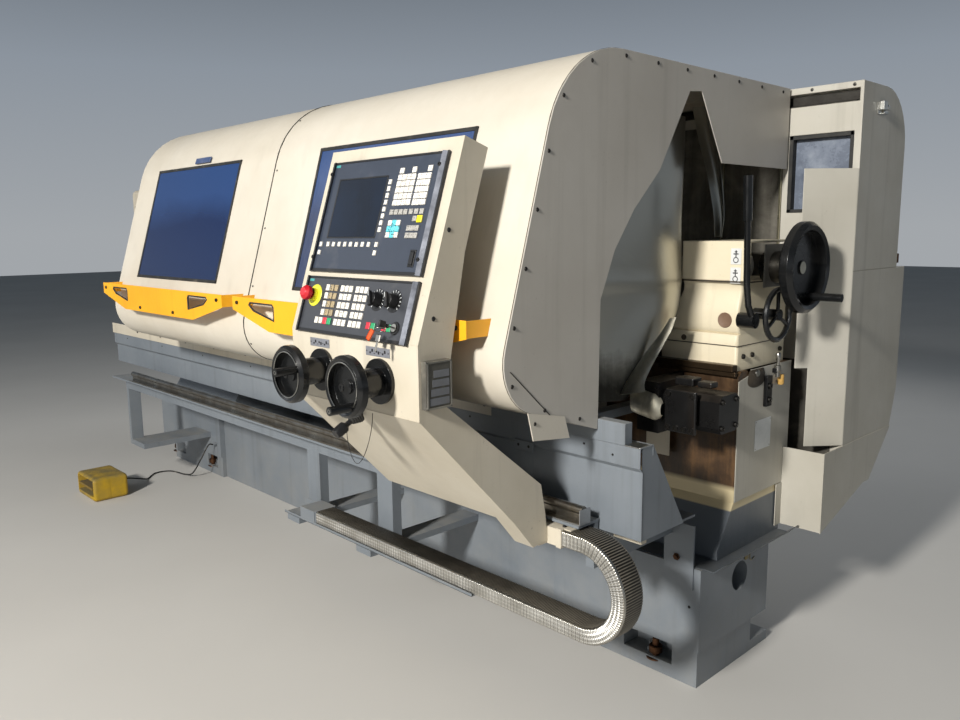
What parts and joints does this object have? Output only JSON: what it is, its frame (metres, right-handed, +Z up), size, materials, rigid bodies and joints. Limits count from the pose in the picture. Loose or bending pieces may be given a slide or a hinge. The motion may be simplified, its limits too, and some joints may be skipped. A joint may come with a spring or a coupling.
{
  "type": "cnc turning lathe",
  "caption": "Flat-bed CNC turning lathe with sliding leaning hoods, a travelling operator column, tailstock, energy chain, rear electrical housing and foot switch.",
  "frame": {"origin": "on the floor under the middle of the machine", "axes": "+X along the bed to the tailstock end, +Y from the operator to the back, +Z up"},
  "size_m": [4.3133, 2.2606, 1.92],
  "materials": {
    "cream_paint": "semi-gloss cream paint, dusty and scuffed",
    "grey_paint": "semi-gloss blue-grey paint, worn at edges",
    "oiled_casting": "machined and painted casting with dried oil",
    "bright_steel": "ground steel, oiled",
    "stainless_sheet": "rolled stainless sheet, stained",
    "black_plastic": "glossy black plastic or black enamel",
    "panel_plastic": "matt membrane panel",
    "tinted_pane": "dark blue tinted plastic sheet",
    "yellow_paint": "gloss yellow paint",
    "red_plastic": "gloss red plastic",
    "steel_chain": "bright steel strip",
    "clear_lid": "scratched clear plastic",
    "black_rubber": "matt black rubber"
  },
  "bodies": {
    "machine": {"pedestal_right": "grey_paint", "pedestal_left": "grey_paint", "drip_tray": "grey_paint", "bed": "oiled_casting", "bed_end_cover": "cream_paint", "coolant_tank": "grey_paint", "rail_beam": "grey_paint", "guide_rail": "bright_steel", "chain_trough": "grey_paint", "energy_chain": "steel_chain", "front_cover": "grey_paint", "front_cover_right": "grey_paint", "hood_rail": "cream_paint", "headstock": "cream_paint", "rear_upper": "cream_paint", "rear_rail": "bright_steel", "rear_window": "clear_lid", "rear_lower": "cream_paint", "rear_end_panel": "cream_paint", "rear_foot_plate": "cream_paint", "splash_back": "stainless_sheet", "servo_motor": "black_plastic", "splash_guard": "stainless_sheet", "foot_switch": "yellow_paint", "foot_cord": "black_rubber"},
    "hood_left": {"hood_left_shell": "cream_paint", "hood_left_window": "tinted_pane", "hood_left_handle": "yellow_paint"},
    "hood_right": {"hood_right_shell": "cream_paint", "hood_right_window": "tinted_pane", "hood_right_end": "cream_paint", "hood_right_handle": "yellow_paint"},
    "saddle": {"saddle": "grey_paint", "column": "cream_paint", "operator_panel": "panel_plastic", "machine_panel": "panel_plastic", "wheel_flange_1": "black_plastic", "wheel_flange_2": "black_plastic", "card_box": "black_plastic"},
    "cross_slide": {"cross_slide": "grey_paint"},
    "tool_post": {"tool_post": "bright_steel"},
    "spindle": {"spindle": "bright_steel"},
    "jaw_1": {"jaw_1": "bright_steel"},
    "jaw_2": {"jaw_2": "bright_steel"},
    "jaw_3": {"jaw_3": "bright_steel"},
    "emergency_stop": {"emergency_stop": "red_plastic"},
    "override_knob_1": {"override_knob_1": "black_plastic"},
    "override_knob_2": {"override_knob_2": "black_plastic"},
    "key_switch": {"key_switch": "bright_steel"},
    "handwheel_1": {"handwheel_1": "black_plastic"},
    "handwheel_2": {"handwheel_2": "black_plastic"},
    "joystick": {"joystick": "black_rubber"},
    "card_lid": {"card_lid": "clear_lid"},
    "tailstock": {"tailstock_body": "cream_paint", "tailstock_cover": "cream_paint"},
    "quill": {"quill": "bright_steel"},
    "tailstock_wheel": {"tailstock_wheel": "black_plastic"},
    "traverse_wheel": {"traverse_wheel": "black_plastic"},
    "clamp_lever": {"clamp_lever": "black_plastic"},
    "foot_pedal": {"foot_pedal": "black_plastic"}
  },
  "joints": [
    {"name": "hood_left_slide", "type": "slide", "parent": "machine", "child": "hood_left", "axis": [1, 0, 0], "range_m": [-1.1, 0]},
    {"name": "hood_right_slide", "type": "slide", "parent": "machine", "child": "hood_right", "axis": [1, 0, 0], "range_m": [0, 0.2]},
    {"name": "saddle_slide", "type": "slide", "parent": "machine", "child": "saddle", "axis": [1, 0, 0], "range_m": [-2.1, 0], "deforming": ["energy_chain"]},
    {"name": "cross_travel", "type": "slide", "parent": "saddle", "child": "cross_slide", "axis": [0, 1, 0], "range_m": [-0.18, 0.15]},
    {"name": "post_turn", "type": "hinge", "parent": "cross_slide", "child": "tool_post", "pos_m": [1.15335, 0.1353, 1.1458], "axis": [0, 0, 1], "continuous": true},
    {"name": "spindle_turn", "type": "hinge", "parent": "machine", "child": "spindle", "pos_m": [-2.13665, 0.3603, 1.325], "axis": [1, 0, 0], "continuous": true},
    {"name": "jaw_slide_1", "type": "slide", "parent": "spindle", "child": "jaw_1", "axis": [0, 0, 1], "range_m": [-0.02, 0.02]},
    {"name": "jaw_slide_2", "type": "slide", "parent": "spindle", "child": "jaw_2", "axis": [0, -0.866, -0.5], "range_m": [-0.02, 0.02]},
    {"name": "jaw_slide_3", "type": "slide", "parent": "spindle", "child": "jaw_3", "axis": [0, 0.866, -0.5], "range_m": [-0.02, 0.02]},
    {"name": "stop_push", "type": "slide", "parent": "saddle", "child": "emergency_stop", "axis": [0, 0.9508, -0.3097], "range_m": [0, 0.005], "stiffness_N_per_m": 800, "springref_m": -0.002},
    {"name": "override_turn_1", "type": "hinge", "parent": "saddle", "child": "override_knob_1", "pos_m": [1.57435, -0.93249, 1.28293], "axis": [0, -0.9508, 0.3097], "range_deg": [-135, 135]},
    {"name": "override_turn_2", "type": "hinge", "parent": "saddle", "child": "override_knob_2", "pos_m": [1.64035, -0.93249, 1.28293], "axis": [0, -0.9508, 0.3097], "range_deg": [-135, 135]},
    {"name": "key_turn", "type": "hinge", "parent": "saddle", "child": "key_switch", "pos_m": [1.66735, -0.95263, 1.22112], "axis": [0, -0.9508, 0.3097], "range_deg": [-90, 0]},
    {"name": "wheel_turn_1", "type": "hinge", "parent": "saddle", "child": "handwheel_1", "pos_m": [1.35335, -1.0403, 1.086], "axis": [0, -1, 0], "continuous": true},
    {"name": "wheel_turn_2", "type": "hinge", "parent": "saddle", "child": "handwheel_2", "pos_m": [1.60735, -1.0403, 1.086], "axis": [0, -1, 0], "continuous": true},
    {"name": "stick_tilt", "type": "hinge", "parent": "saddle", "child": "joystick", "pos_m": [1.50335, -0.95392, 0.98355], "axis": [0, 0.4827, -0.8758], "range_deg": [-12, 12], "stiffness_Nm_per_rad": 1.5},
    {"name": "lid_turn", "type": "hinge", "parent": "saddle", "child": "card_lid", "pos_m": [1.77195, -0.9477, 1.15], "axis": [0, -1, 0], "range_deg": [0, 100]},
    {"name": "tail_slide", "type": "slide", "parent": "machine", "child": "tailstock", "axis": [-1, 0, 0], "range_m": [0, 0.18]},
    {"name": "quill_slide", "type": "slide", "parent": "tailstock", "child": "quill", "axis": [-1, 0, 0], "range_m": [0, 0.12]},
    {"name": "tail_wheel_turn", "type": "hinge", "parent": "tailstock", "child": "tailstock_wheel", "pos_m": [1.92765, 0.3603, 1.325], "axis": [-1, 0, 0], "range_deg": [0, 8600]},
    {"name": "traverse_turn", "type": "hinge", "parent": "tailstock", "child": "traverse_wheel", "pos_m": [1.92765, 0.3003, 1.178], "axis": [-1, 0, 0], "range_deg": [0, 2165]},
    {"name": "lever_turn", "type": "hinge", "parent": "tailstock", "child": "clamp_lever", "pos_m": [1.92765, 0.2053, 1.165], "axis": [1, 0, 0], "range_deg": [-30, 20]},
    {"name": "pedal_turn", "type": "hinge", "parent": "machine", "child": "foot_pedal", "pos_m": [-1.47665, -0.5627, 0.062], "axis": [1, 0, 0], "range_deg": [0, 7], "stiffness_Nm_per_rad": 10, "springref_deg": -5.73}
  ],
  "couplings": [
    {"joint": "jaw_slide_2", "follows": "jaw_slide_1", "ratio": 1},
    {"joint": "jaw_slide_3", "follows": "jaw_slide_1", "ratio": 1},
    {"joint": "quill_slide", "follows": "tail_wheel_turn", "m_per_rad": 0.00079577},
    {"joint": "traverse_turn", "follows": "tail_slide", "rad_per_m": 209.44}
  ]
}
